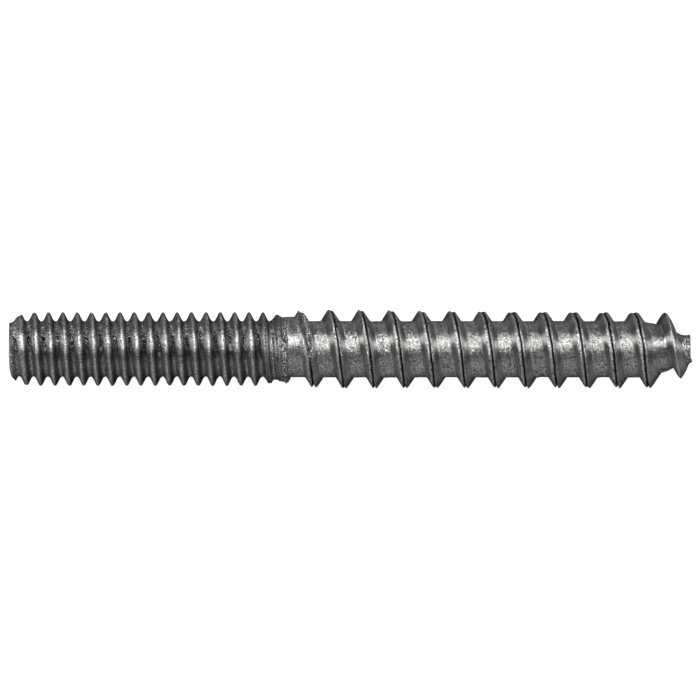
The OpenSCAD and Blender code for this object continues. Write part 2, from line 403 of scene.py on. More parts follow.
def root_crack(x, phi, t):
    """Where a short crack opens in the root, on the upper side."""
    crack = bump(np.abs(t), MACHINE_ROOT_T, CRACK_HALF_W) * bump(phi, *CRACK_PHI_SPOT)
    return crack * patches(x, phi, "cracks") * (1 - smooth(*CRACK_END_SPAN, x))


def fade_ridges(x, phi):
    """From -1 to 1 over the fine ridges that the fading groove leaves past its last crest."""
    past = x - LAST_CREST_X - MACHINE_PITCH * phi / (2 * pi) + grain(x, phi, "ridge line")
    return np.interp(past, FADE_T, FADE_H) * (FINE_RIDGE_SHARE + grain(x, phi, "ridge height"))


def burr_line(x, phi, half_w):
    """1 along the burr that the last of the thread leaves at the neck."""
    return bump(x, BURR_X + grain(x, phi, "burr line"), half_w)


def machine_radius(x, phi):
    t = winding(x, phi, MACHINE_PITCH, MACHINE_CREST_X)[1]
    t = t - MACHINE_LEAN * np.cos(phi) + grain(x, phi, "machine line")
    wave = machine_wave(t)
    crest = mix(MACHINE_CREST_R, FADING_CREST_R, smooth(*CREST_DROP_SPAN, x))
    crest = mix(crest, NECK_R, smooth(*CREST_END_SPAN, x)) + grain(x, phi, "machine crest")
    root = mix(MACHINE_ROOT_R, NECK_R - ROOT_SINK, smooth(*ROOT_END_SPAN, x))
    r = mix(root, crest, wave)
    r = r + rolling(t, MACHINE_PITCH, x, phi, *MACHINE_ROLLING)
    r = r + grain(x, phi, "machine skin")
    r = r - CHIP_DEPTH * patches(x, phi, "chips") * wave
    r = r + MACHINE_SHIFT * np.cos(phi) * (1 - smooth(*MACHINE_SHIFT_SPAN, x))
    point = POINT_R - POINT_DROP * np.exp((POINT_X - x) / POINT_LENGTH)
    r = soft_min(r, point, POINT_ROUND)

    rough_side = smooth(*ROUGH_SPAN, -np.cos(phi))
    r = r + FINE_RIDGE_H * fade_ridges(x, phi) * rough_side
    r = r - CRACK_DEPTH * root_crack(x, phi, t) ** 2
    r = r + grain(x, phi, "machine start") * (1 - smooth(*START_SPAN, x))
    torn = bump(x, *TORN_SPOT) * patches(x, phi, "tears")
    burr = burr_line(x, phi, BURR_HALF_W) * (BURR_LOW_H + BURR_HIGH_H * patches(x, phi, "burrs"))
    return r + (burr - TORN_DEPTH * torn) * rough_side + marked(x, phi)


# The lag thread


def lag_parts(x, phi):
    """The turn, the distance past its middle line, and where its left lip, seam and right lip lie."""
    turn, t = winding(x, phi, LAG_PITCH, LAG_CREST_X)
    t = t - TIP_LEAD * bump(turn, *TIP_LEAD_TURN_SPOT)
    t = t + grain(x, phi, "lag line")
    side, top = np.cos(phi), np.sin(phi)
    doubled = 1 - smooth(*LIPS_END_TURN_SPAN, turn)
    left_t = (np.interp(turn, LEFT_LIP_TURN, LEFT_LIP_T) + LEFT_LIP_TOP_T * top) * doubled
    seam_t = (SEAM_TOP_T * top + SEAM_T) * doubled + grain(x, phi, "seam line")
    right_t = (RIGHT_LIP_T + RIGHT_LIP_SIDE_T * side + RIGHT_LIP_TOP_T * top) * doubled
    return turn, t, left_t, seam_t, right_t


def lag_land(x, phi, turn, t):
    groove = np.where(t > 0, turn, turn - 1)
    land = mix(NECK_R, np.interp(x, LAND_X, LAND_R), smooth(*GROOVE_START_TURN_SPAN, groove))
    return land + grain(x, phi, "lag land")


def lag_flank(turn, t, phi, lip, tip):
    """The radius of the ridge's two flanks, which go on past the lips."""
    side = np.cos(phi)
    left_foot = (np.interp(turn, FOOT_TURN, LEFT_FOOT_T) + LEFT_FOOT_SIDE * side
                 + LEFT_FOOT_TOP * bump(phi, *LEFT_FOOT_PHI_SPOT))
    right_foot = (np.interp(turn, FOOT_TURN, RIGHT_FOOT_T) + RIGHT_FOOT_SIDE * side
                  + RIGHT_FOOT_TOP * bump(phi, *RIGHT_FOOT_PHI_SPOT))
    slope = mix(np.where(t < 0, LEFT_SLOPE, RIGHT_SLOPE), TIP_SLOPE, tip)
    full = LAG_ROOT_R + np.where(t < 0, LEFT_SLOPE * left_foot, RIGHT_SLOPE * right_foot)
    return mix(full, lip + TIP_FLANK_RISE, tip) - slope * np.abs(t)


def lag_ridge(x, phi):
    """The radius of the ridge alone, which falls under the land between its turns."""
    turn, t, left_t, seam_t, right_t = lag_parts(x, phi)
    ragged = smooth(*RAGGED_FROM_TURN_SPAN, turn) * (1 - smooth(*RAGGED_TO_TURN_SPAN, turn))
    tip = smooth(*TIP_TURN_SPAN, turn)
    side = np.cos(phi)

    lip = np.interp(turn, RIDGE_TURN, RIDGE_R) + np.interp(turn, SIDE_TURN, SIDE_R) * (1 - tip) * side
    left_drop = (LEFT_LIP_DROP + LEFT_LIP_DROP_SIDE * side) * smooth(*LEFT_LIP_DROP_TURN_SPAN, turn)
    left_drop = left_drop + NOTCH_DEPTH * bump(turn, *NOTCH_TURN_SPOT)
    right_drop = RIGHT_LIP_DROP + RIGHT_LIP_DROP_SIDE * side
    right_drop = right_drop * (1 - smooth(*RIGHT_LIP_DROP_TURN_SPAN, turn)) * (1 + RAGGED_DROP * ragged)
    curve = mix(mix(LIP_CURVE, RAGGED_CURVE, ragged), TIP_CURVE, tip)
    left = lip - left_drop * (1 - tip) - curve * (t - left_t) ** 2
    right = lip - right_drop - curve * (t - right_t) ** 2
    left = left + (1 + 2 * ragged) * grain(x, phi, "left lip")
    right = right + (1 + 2 * ragged) * grain(x, phi, "right lip")
    cap = np.where(t < seam_t, left, right)
    ridge = soft_min(lag_flank(turn, t, phi, lip, tip), cap, mix(LIP_ROUND, RAGGED_ROUND, ragged))

    seam = SEAM_DEPTH + grain(x, phi, "seam depth")
    seam = seam * (1 - smooth(*SEAM_END_TURN_SPAN, turn)) * smooth(*SEAM_START_TURN_SPAN, turn)
    seam = seam * (1 - SEAM_CLOSED * smooth(*SEAM_CLOSED_SPAN, side))
    ridge = ridge - seam * bump(t, seam_t, SEAM_HALF_W * (1 + RAGGED_SEAM * ragged))
    folds = FOLD_IN_DEPTH * patches(x, phi, "folds in") - FOLD_OUT_H * patches(x, phi, "folds out")
    return ridge - folds * bump(t, *FOLD_T_SPOT) * ragged


def lag_radius(x, phi):
    turn, t = lag_parts(x, phi)[:2]
    ridge, land = lag_ridge(x, phi), lag_land(x, phi, turn, t)
    r = soft_max(ridge, land, FOOT_ROUND)
    flat = smooth(*ON_LAND_SPAN, land - ridge)
    r = r + flat * grain(x, phi, "land skin")
    r = r - flat * LAND_PIT_DEPTH * patches(x, phi, "land pits")
    r = r + FOOT_LINE_H * bump(t, FOOT_LINE_T, FOOT_LINE_HALF_W) * patches(x, phi, "foot line")
    r = r + (1 - flat) * rolling(t, LAG_PITCH, x, phi, *LAG_ROLLING)
    r = r + (1 - flat) * grain(x, phi, "lag skin")
    return r + marked(x, phi)


# The skin: rows of points wound along each helix, which end on plain rings


class Skin:
    """Collects rings and wound rows of points, and the faces between them."""

    def __init__(self):
        self.points, self.faces, self.count = [], [], 0

    def add(self, x, r, phi):
        x, r, phi = np.broadcast_arrays(x, r, phi)
        place = np.stack([x, r * np.cos(phi), r * np.sin(phi)], axis=-1).reshape(-1, 3)
        self.points.append(place)
        ids = np.arange(self.count, self.count + len(place)).reshape(x.shape)
        self.count += len(place)
        return ids

    def ring(self, x, r):
        return self.add(x, r, PHI)

    def bridge(self, rings):
        """Faces from each ring to the next, in order of x."""
        for near, far in zip(rings, rings[1:]):
            self.quads(np.stack([near, np.roll(near, -1), np.roll(far, -1), far], axis=-1))

    def quads(self, quads):
        """Adds the quads, of which some have shrunk to a triangle or to nothing."""
        quads = quads.reshape(-1, 4)
        same = quads == np.roll(quads, -1, axis=1)
        whole = ~same.any(axis=1)
        self.faces += quads[whole].tolist()
        for quad in quads[~whole].tolist():
            corners = [v for i, v in enumerate(quad) if v != quad[i - 1]]
            if len(corners) >= 3:
                self.faces.append(corners)

    def cap(self, ring, x, outward):
        centre = self.add(x, 0.0, 0.0).item()
        a, b = (ring, np.roll(ring, -1)) if outward > 0 else (np.roll(ring, -1), ring)
        self.faces += [[centre, int(i), int(j)] for i, j in zip(a, b)]

    def thread(self, rows, pitch, crest_x, near, near_x, far, far_x, radius):
        """The rows of one thread between two rings that are already there."""
        first_turn = int(np.floor((near_x - crest_x - pitch) / pitch)) - TURNS_BEFORE
        turns = int(np.ceil((far_x - near_x) / pitch)) + TURNS_MORE
        starts = first_turn + np.arange(turns)
        line_x = (crest_x + pitch * starts[:, None] + rows[None, :]).reshape(-1)
        x = line_x[:, None] + pitch * PHI[None, :] / (2 * pi)
        ids = np.full(x.shape, -1)
        before, after = x <= near_x + MERGE, x >= far_x - MERGE
        inside = ~(before | after)
        phi = np.broadcast_to(PHI, x.shape)
        ids[inside] = self.add(x[inside], radius(x[inside], phi[inside]), phi[inside])
        ids = np.where(before, near[None, :], ids)
        ids = np.where(after, far[None, :], ids)
        # past the last step the helix has climbed one pitch, so it goes on one turn up
        wrapped = np.concatenate([ids[: -len(rows)], ids[len(rows):, :1]], axis=1)
        a, b = wrapped[:-1, :-1], wrapped[:-1, 1:]
        d, c = wrapped[1:, :-1], wrapped[1:, 1:]
        self.quads(np.stack([a, b, c, d], axis=-1))


def sheared_end(skin):
    """The sheared face and its rolled edge, up to the ring where the machine thread starts."""
    rings = []
    for r in np.linspace(FACE_INNER_R, EDGE_R, FACE_RINGS):
        y, z = r * np.cos(PHI), r * np.sin(PHI)
        share = r / EDGE_R
        slant = FACE_SLANT * (1 - y / EDGE_R) * share ** 2
        # drawn out aslant across the face
        tears = noise(9 * y + 3 * z, 2 * z - y, 0 * y, FACE_SEED)
        torn = FACE_TORN_H * (1 + tears) * share ** 0.5
        rings.append(skin.ring(slant + torn + FACE_ROLL * share ** 8, r))
    start = machine_radius(RIM_X + 0 * PHI, PHI)
    for share in EDGE_SHARES:
        upper = EDGE_LOW_SHARE + (1 - EDGE_LOW_SHARE) * smooth(*EDGE_UPPER_SPAN, np.sin(PHI))
        torn = grain(0.5 * share + 0 * PHI, PHI, "rolled edge") * upper * (1 - 0.5 * share)
        x = mix(EDGE_X, RIM_X, share)
        r = mix(EDGE_R, start, share ** EDGE_CURVE) + torn + marked(x, PHI)
        rings.append(skin.ring(x + 0.5 * torn, r))
    skin.bridge(rings)
    skin.cap(rings[0], 0.0, -1)
    rim = skin.ring(RIM_X, start)
    skin.bridge([rings[-1], rim])
    return rim


def broken_tip(skin, last):
    """The stub past the last of the ridge, and the torn face."""
    rings = [last]
    face_x = LENGTH - STUB_LENGTH
    end_x = face_x + STUB_LENGTH * smooth(*STUB_SPAN, -np.cos(PHI))
    for share in STUB_SHARES:
        x = mix(TIP_END, end_x, share)
        rings.append(skin.ring(x, lag_radius(x, PHI) * (STUB_NARROWED if share == 1 else 1)))
    edge = lag_radius(end_x, PHI)
    for share, depth in TIP_RINGS:
        torn = TIP_TORN_H * (0.5 + grain(0.7 * share, PHI, "broken face"))
        rings.append(skin.ring(mix(face_x, end_x, share ** 4) - depth - torn, edge * share))
    skin.bridge(rings)
    skin.cap(rings[-1], LENGTH - TIP_CENTRE_DEPTH, 1)


# What the steel's material goes by at each point, from 0 to 1, or FULL at the most:
#   worn    bare and bright where rubbed, and a painted highlight line along the machine roots
#   hollow  painted shade: dark where light doesn't reach, on shaded flanks, in seams, cracks and dents
#   even    smooth, with few blotches, specks and pits
#   side    the duller sides of a thread
#   torn    dark holes between bright burrs

FULL = 1.5
MARK_HEIGHT = 0.04  # a single raised mark this high is bare and bright in full
MARK_DEPTH = 0.05  # and a dent this deep gets the full painted shade

# On the machine thread
FADING_SPAN = (14.1, 14.3)
CREST_WORN = 0.5
CREST_WORN_POWER = 12  # more keeps the wear to the very top
# a painted highlight: a thin light line along the machine roots, where the rounded root reflects the
# light
ROOT_PAINTED_HIGHLIGHT = 0.4
ROOT_HIGHLIGHT_HALF_W = 0.028
FINE_RIDGE_WORN = 0.9
FINE_RIDGE_WORN_SPAN = (0.55, 0.9)  # of fade_ridges, as are the next two spans
# painted shade between the fine ridges, and over the fading groove except on the ridge tops
FINE_RIDGE_PAINTED_SHADE = 1.4
FINE_RIDGE_SHADE_SPAN = (0.0, 0.6)
FADE_ZONE_SHADE_SPAN = (0.4, 0.8)
FADE_ZONE_PAINTED_SHADE = 0.5
# painted shade on the machine flanks: the right flank darkened in full, the left a little
RIGHT_FLANK_SPOT = (0.2, 0.12)
LEFT_FLANK_SPOT = (-0.2, 0.16)
LEFT_FLANK_PAINTED_SHADE = 0.15
# painted shadow on the right flanks just below the lit band, at this angle round the bolt
LOW_FLANK_SPOT = (0.27, 0.13)
LOW_FLANK_PHI_SPOT = (1.56, 0.3)
LOW_FLANK_PAINTED_SHADOW = 0.6
# the root cracks are also cut into the shape; this is painted shade on them, where the root lies in
# shadow
CRACK_PAINTED_SHADE = 2.8
ROOT_TORN_HALF_W = 0.17
ROOT_TORN = 0.15
ROOT_TORN_MORE = 0.75
ROOT_TORN_PHI_SPOT = (0.95, 0.4)
FADING_TORN = 0.2
MACHINE_EVEN = 0.85
ROOT_UNEVEN = 0.5
ROOT_UNEVEN_HALF_W = 0.16
CREST_UNEVEN = 0.45
CREST_UNEVEN_SPOT = (-0.05, 0.14)
UPPER_UNEVEN = 0.4
UPPER_UNEVEN_PHI_SPOT = (1.15, 0.5)
START_EVEN_SPAN = (0.2, 0.9)
FADING_EVEN = 0.4
FADING_EVEN_SPAN = (14.2, 14.6)
NECK_UNEVEN = 0.3
NECK_UNEVEN_SPAN = (15.1, 15.4)
MACHINE_SIDE = 0.6
MACHINE_SIDE_SPOT = (0.2, 0.09)

# On the lag thread
RIDGE_START_TURN_SPAN = (-1.7, -1.4)
SEAMED_TURN_SPAN = (-0.78, -0.64)
FOLDED_FROM_TURN_SPAN = (-1.0, -0.92)
FOLDED_TO_TURN_SPAN = (-0.76, -0.68)
OVER_LAND_SPAN = (0.02, 0.10)
BESIDE_LIP_SPAN = (0.07, 0.14)
BESIDE_CREST_SPAN = (0.06, 0.12)
ONE_CREST_TURN = 10.7  # from here on the ridge has one crest instead of two lips
TIP_EVEN_TURN_SPAN = (10.9, 11.0)
TIP_EVEN_T_SPAN = (0.03, 0.1)
LEFT_LIP_WORN = 1.5
LEFT_LIP_HALF_W = 0.024
RIGHT_LIP_WORN = 0.15
RIGHT_LIP_WORN_HALF_W = 0.04
RIGHT_LIP_TORN = 0.3
RIGHT_LIP_TORN_HALF_W = 0.05
LIPS_TORN = 0.25
FOOT_LINE_WORN = 1.5
FOOT_LINE_WORN_HALF_W = 0.03
FOOT_LINE_TURN_SPAN = (-0.6, -0.3)
FOLD_TORN = 1.4
FOLD_TORN_T_SPOT = (0.19, 0.17)
# painted shade in the rolling seam
SEAM_PAINTED_SHADE = 1.6
SEAM_SHADE_HALF_W = 0.065
# painted shade on the left side of the lag ridge
LEFT_SIDE_PAINTED_SHADE = 0.25

# At the neck and both ends
BURR_WORN = 1.6
BURR_WORN_HALF_W = 0.05
NECK_TORN = 1.3
NECK_TORN_SPOT = (BURR_X - 0.03, 0.13)
NECK_TORN_SPAN = (-0.95, -0.6)  # of -cos(phi), as is the next
FACE_TORN_SPAN = (-0.1, 0.3)
FACE_TORN_X_SPAN = (0.1, 0.35)
TIP_TORN = 0.4
TIP_TORN_X_SPAN = (37.35, 37.5)
NECK_EVEN = 0.25
NECK_EVEN_SPOT = (15.74, 0.3)
TIP_EVEN = 0.6
TIP_EVEN_X_SPAN = (35.6, 35.9)


def machine_marks(x, phi):
    t = winding(x, phi, MACHINE_PITCH, MACHINE_CREST_X)[1]
    from_crest = np.abs(t)
    wave = machine_wave(t - MACHINE_LEAN * np.cos(phi))
    fading = smooth(*FADING_SPAN, x)
    ridges = fade_ridges(x, phi)

    # painted highlight: a thin light line along the root
    root_highlight = ROOT_PAINTED_HIGHLIGHT * bump(from_crest, MACHINE_ROOT_T, ROOT_HIGHLIGHT_HALF_W)
    wear_and_highlight = CREST_WORN * np.maximum(wave ** CREST_WORN_POWER, root_highlight)

    # painted shade: the right flanks, which face away from the light, darkened all round; the left flanks
    # a little
    flanks = np.maximum(bump(t, *RIGHT_FLANK_SPOT), LEFT_FLANK_PAINTED_SHADE * bump(t, *LEFT_FLANK_SPOT))
    # painted shadow: the right flank darkened more at the angle where it lies in shadow
    low_flank_shadow = LOW_FLANK_PAINTED_SHADOW * bump(t, *LOW_FLANK_SPOT) * bump(phi, *LOW_FLANK_PHI_SPOT)
    flanks = flanks * (1 - fading) + low_flank_shadow * (1 - fading)
    # painted shade between the fine ridges and over the fading groove
    between = FINE_RIDGE_PAINTED_SHADE * smooth(*FINE_RIDGE_SHADE_SPAN, -ridges)
    dark = FADE_ZONE_PAINTED_SHADE * fading * (1 - smooth(*FADE_ZONE_SHADE_SPAN, ridges))
    # painted shade in the root cracks, at the angle where the root lies in shadow
    crack = CRACK_PAINTED_SHADE * root_crack(x, phi, t)
    painted_shade = np.max([flanks, between, dark, crack], axis=0)

    torn = ROOT_TORN + ROOT_TORN_MORE * bump(phi, *ROOT_TORN_PHI_SPOT)
    torn = bump(from_crest, MACHINE_ROOT_T, ROOT_TORN_HALF_W) * torn

    even = MACHINE_EVEN - ROOT_UNEVEN * bump(from_crest, MACHINE_ROOT_T, ROOT_UNEVEN_HALF_W)
    even = even - CREST_UNEVEN * bump(t, *CREST_UNEVEN_SPOT)
    even = (even - UPPER_UNEVEN * bump(phi, *UPPER_UNEVEN_PHI_SPOT)) * smooth(*START_EVEN_SPAN, x)
    even = mix(even, FADING_EVEN, smooth(*FADING_EVEN_SPAN, x))
    even = even - NECK_UNEVEN * smooth(*NECK_UNEVEN_SPAN, x)
    return {
        "wear_and_highlight": np.maximum(wear_and_highlight * (1 - fading), FINE_RIDGE_WORN * smooth(*FINE_RIDGE_WORN_SPAN, ridges)),
        "painted_shade": np.clip(painted_shade, 0, FULL),
        "even": even,
        "side": MACHINE_SIDE * bump(from_crest, *MACHINE_SIDE_SPOT) * (1 - fading),
        "torn": np.maximum(torn, FADING_TORN * fading),
    }


def lag_marks(x, phi):
    turn, t, left_t, seam_t, right_t = lag_parts(x, phi)
    ridge = smooth(*RIDGE_START_TURN_SPAN, turn)
    on_ridge = smooth(*OVER_LAND_SPAN, lag_ridge(x, phi) - lag_land(x, phi, turn, t)) * ridge

    left_of_lip = smooth(*BESIDE_LIP_SPAN, left_t - t)
    beside_lips = np.maximum(left_of_lip, smooth(*BESIDE_LIP_SPAN, t - right_t))
    beside_crest = smooth(*BESIDE_CREST_SPAN, np.abs(t))
    side = on_ridge * np.where(turn < ONE_CREST_TURN, beside_lips, beside_crest)

    lip = LEFT_LIP_WORN * bump(t, left_t, LEFT_LIP_HALF_W)
    lips_worn = np.maximum(lip, RIGHT_LIP_WORN * bump(t, right_t, RIGHT_LIP_WORN_HALF_W)) * ridge
    lips_torn = np.maximum(lip, RIGHT_LIP_TORN * bump(t, right_t, RIGHT_LIP_TORN_HALF_W)) * ridge
    foot_line = FOOT_LINE_WORN * bump(t, FOOT_LINE_T, FOOT_LINE_WORN_HALF_W)
    foot_line = foot_line * patches(x, phi, "foot line") * smooth(*FOOT_LINE_TURN_SPAN, turn)

    # painted shade in the rolling seam
    seam = SEAM_PAINTED_SHADE * bump(t, seam_t, SEAM_SHADE_HALF_W)
    seam = seam * (smooth(*SEAMED_TURN_SPAN, turn) * (1 - smooth(*SEAM_END_TURN_SPAN, turn)))
    fold = bump(t, *FOLD_TORN_T_SPOT) * smooth(*FOLDED_FROM_TURN_SPAN, turn)
    fold = fold * (1 - smooth(*FOLDED_TO_TURN_SPAN, turn))
    return {
        "wear_and_highlight": np.maximum(lips_worn, foot_line),
        # painted shade in the seam and on the left side of the ridge
        "painted_shade": np.maximum(seam, LEFT_SIDE_PAINTED_SHADE * (left_of_lip * on_ridge)),
        "even": np.maximum(side, smooth(*TIP_EVEN_TURN_SPAN, turn) * smooth(*TIP_EVEN_T_SPAN, t)),
        "side": side,
        "torn": np.maximum(FOLD_TORN * fold, LIPS_TORN * lips_torn),
    }


def skin_marks(points):
    x, phi = points[:, 0], np.arctan2(points[:, 2], points[:, 1])
    machine, lag = machine_marks(x, phi), lag_marks(x, phi)
    marks = {name: np.where(x > MACHINE_END, lag[name], machine[name]) for name in lag}

    mark = marked(x, phi)
    minus_y = -np.cos(phi)
    burr = BURR_WORN * (burr_line(x, phi, BURR_WORN_HALF_W) * patches(x, phi, "bare burrs"))
    more = [
        ("wear_and_highlight", burr),
        ("wear_and_highlight", np.clip(mark / MARK_HEIGHT, 0, FULL)),
        # painted shade in the dents
        ("painted_shade", np.clip(-mark / MARK_DEPTH, 0, FULL)),
        ("even", NECK_EVEN * bump(x, *NECK_EVEN_SPOT) + TIP_EVEN * smooth(*TIP_EVEN_X_SPAN, x)),
        ("torn", NECK_TORN * bump(x, *NECK_TORN_SPOT) * smooth(*NECK_TORN_SPAN, minus_y)),
        ("torn", (1 - smooth(*FACE_TORN_X_SPAN, x)) * smooth(*FACE_TORN_SPAN, minus_y)),
        ("torn", TIP_TORN * smooth(*TIP_TORN_X_SPAN, x)),
    ]
    for name, value in more:
        marks[name] = np.maximum(marks[name], value)
    return marks


WAY_SHARE = 0.05  # how slowly the streaks of the steel run along the thread


def helix_place(points):
    """Places that run fast across a thread and slowly along it."""
    x, phi = points[:, 0], np.arctan2(points[:, 2], points[:, 1])
    on_lag = x > MACHINE_END
    pitch = np.where(on_lag, LAG_PITCH, MACHINE_PITCH)
    crest_x = np.where(on_lag, LAG_CREST_X, MACHINE_CREST_X)
    t = winding(x, phi, pitch, crest_x)[1]
    psi, ring = 2 * pi * t / pitch, pitch / (2 * pi)
    along = WAY_SHARE * (x + DRIFT * np.cos(phi))
    return np.stack([ring * np.cos(psi), ring * np.sin(psi), along], axis=-1)


def bolt_mesh():
    skin = Skin()
    rim = sheared_end(skin)
    joint_r = mix(machine_radius(MACHINE_END + 0 * PHI, PHI), lag_radius(MACHINE_END + 0 * PHI, PHI), 0.5)
    joint = skin.ring(MACHINE_END, joint_r)
    tip = skin.ring(TIP_END, lag_radius(TIP_END + 0 * PHI, PHI))
    fade = skin.ring(FADE_X, machine_radius(FADE_X + 0 * PHI, PHI))
    machine = (MACHINE_PITCH, MACHINE_CREST_X)
    skin.thread(MACHINE_ROW_T, *machine, rim, RIM_X, fade, FADE_X, machine_radius)
    skin.thread(FADE_ROW_T, *machine, fade, FADE_X, joint, MACHINE_END, machine_radius)
    skin.thread(LAG_ROW_T, LAG_PITCH, LAG_CREST_X, joint, MACHINE_END, tip, TIP_END, lag_radius)
    broken_tip(skin, tip)

    points = np.concatenate(skin.points)
    values, way = skin_marks(points), helix_place(points)
    reach = np.hypot(points[:, 1], points[:, 2])
    points[:, 1:] *= np.minimum(1, REACH / np.maximum(reach, TINY))[:, None]
    points[:, 0] = np.clip(points[:, 0], 0, LENGTH) + low.x / MM
    points[:, 2] += AXIS_HEIGHT

    mesh = bpy.data.meshes.new("hanger_bolt_steel")
    mesh.from_pydata((points * MM).tolist(), [], skin.faces)
    mesh.polygons.foreach_set("use_smooth", np.ones(len(mesh.polygons), dtype=bool))
    for name, value in values.items():
        layer = mesh.attributes.new(name, "FLOAT", "POINT")
        layer.data.foreach_set("value", value.astype(np.float32))
    layer = mesh.attributes.new("way", "FLOAT_VECTOR", "POINT")
    layer.data.foreach_set("vector", way.astype(np.float32).ravel())
    mesh.update()
    return mesh


# The steel

# Noises of its material: scale per mm, detail and roughness
CLOUDS = (1.3, 3.0, 0.6)
MOTTLE = (6.5, 3.0, 0.65)
SPECK = (19.0, 2.0, 0.6)
PITS = (9.0, 1.0, 0.6)
GRIT = (12.0, 2.0, 0.55)
STREAK = (16.0, 3.0, 0.6)

# Ramps over the noises: the two levels of the noise, and the values at them
BLOTCHES = (0.35, 0.65, 0.6, 1.4)
OXIDE_TONE = (0.35, 0.65, 0.25, 0.34)
STREAKS = (0.35, 0.65, 0.75, 1.25)
BARE_SPECKS = (0.52, 0.60, 0.0, 0.55)
WEAR_AND_HIGHLIGHT_TONE = (0.45, 0.58, 0.02, 0.6)
PIT_SHADE = (0.59, 0.64, 0.0, 0.85)
PIT_FIELDS = (0.45, 0.55, 0.0, 1.0)
TORN_HOLES = (0.40, 0.46, 0.9, 0.0)
TORN_BURRS = (0.56, 0.62, 0.0, 1.0)
TORN_HEIGHT = (0.35, 0.65, -0.5, 0.5)
METALLIC = (0.3, 0.7, 0.9, 0.98)
ROUGHNESS = (0.3, 0.7, 0.23, 0.32)

EVENNESS = 0.85  # how much of the blotches and specks an even place loses
SIDE_TONE = 0.06
# how far the painted shade darkens the steel
HOLLOW_SHADE = 0.6
BURR_TONE = 0.85
BLUE = 0.965  # the steel is a little warm
SPECULAR_TINT = (0.1, 0.1, 0.1, 1)
ROUGHER_WHERE_WORN = 0.12
ROUGHER_WHERE_UNEVEN = 0.06
ANISOTROPY = 0.95
QUARTER_TURN = 0.25
RELIEF_DEPTH = 0.06 * MM  # what the next four are shares of
MOTTLE_HEIGHT = 0.42
SPECK_HEIGHT = 0.42
PIT_DEPTH = 0.4
STREAK_HEIGHT = 0.2


class Nodes:
    """Short forms for the nodes of one material or world.

    An input is a number, a colour or another node's output.
    """

    def __init__(self, owner):
        owner.use_nodes = True
        self.tree = owner.node_tree

    def add(self, kind, output=0, inputs=None, **settings):
        node = self.tree.nodes.new(kind)
        for name, value in settings.items():
            setattr(node, name, value)
        for key, value in (inputs or {}).items():
            self.put(node.inputs[key], value)
        return node.outputs[output]

    def put(self, socket, value):
        if isinstance(value, bpy.types.NodeSocket):
            self.tree.links.new(value, socket)
        else:
            socket.default_value = value

    def math(self, operation, a, b):
        return self.add("ShaderNodeMath", operation=operation, inputs={0: a, 1: b})

    def noise(self, vector, scale, detail, roughness):
        inputs = {"Vector": vector, "Scale": scale, "Detail": detail, "Roughness": roughness}
        return self.add("ShaderNodeTexNoise", inputs=inputs)

    def ramp(self, value, a, b, low, high):
        inputs = {"Value": value, "From Min": a, "From Max": b, "To Min": low, "To Max": high}
        return self.add("ShaderNodeMapRange", interpolation_type="SMOOTHSTEP", inputs=inputs)

    def mix(self, share, a, b):
        return self.add("ShaderNodeMix", data_type="FLOAT", inputs={0: share, 2: a, 3: b})

    def attribute(self, name, output="Fac"):
        return self.add("ShaderNodeAttribute", output, attribute_name=name)


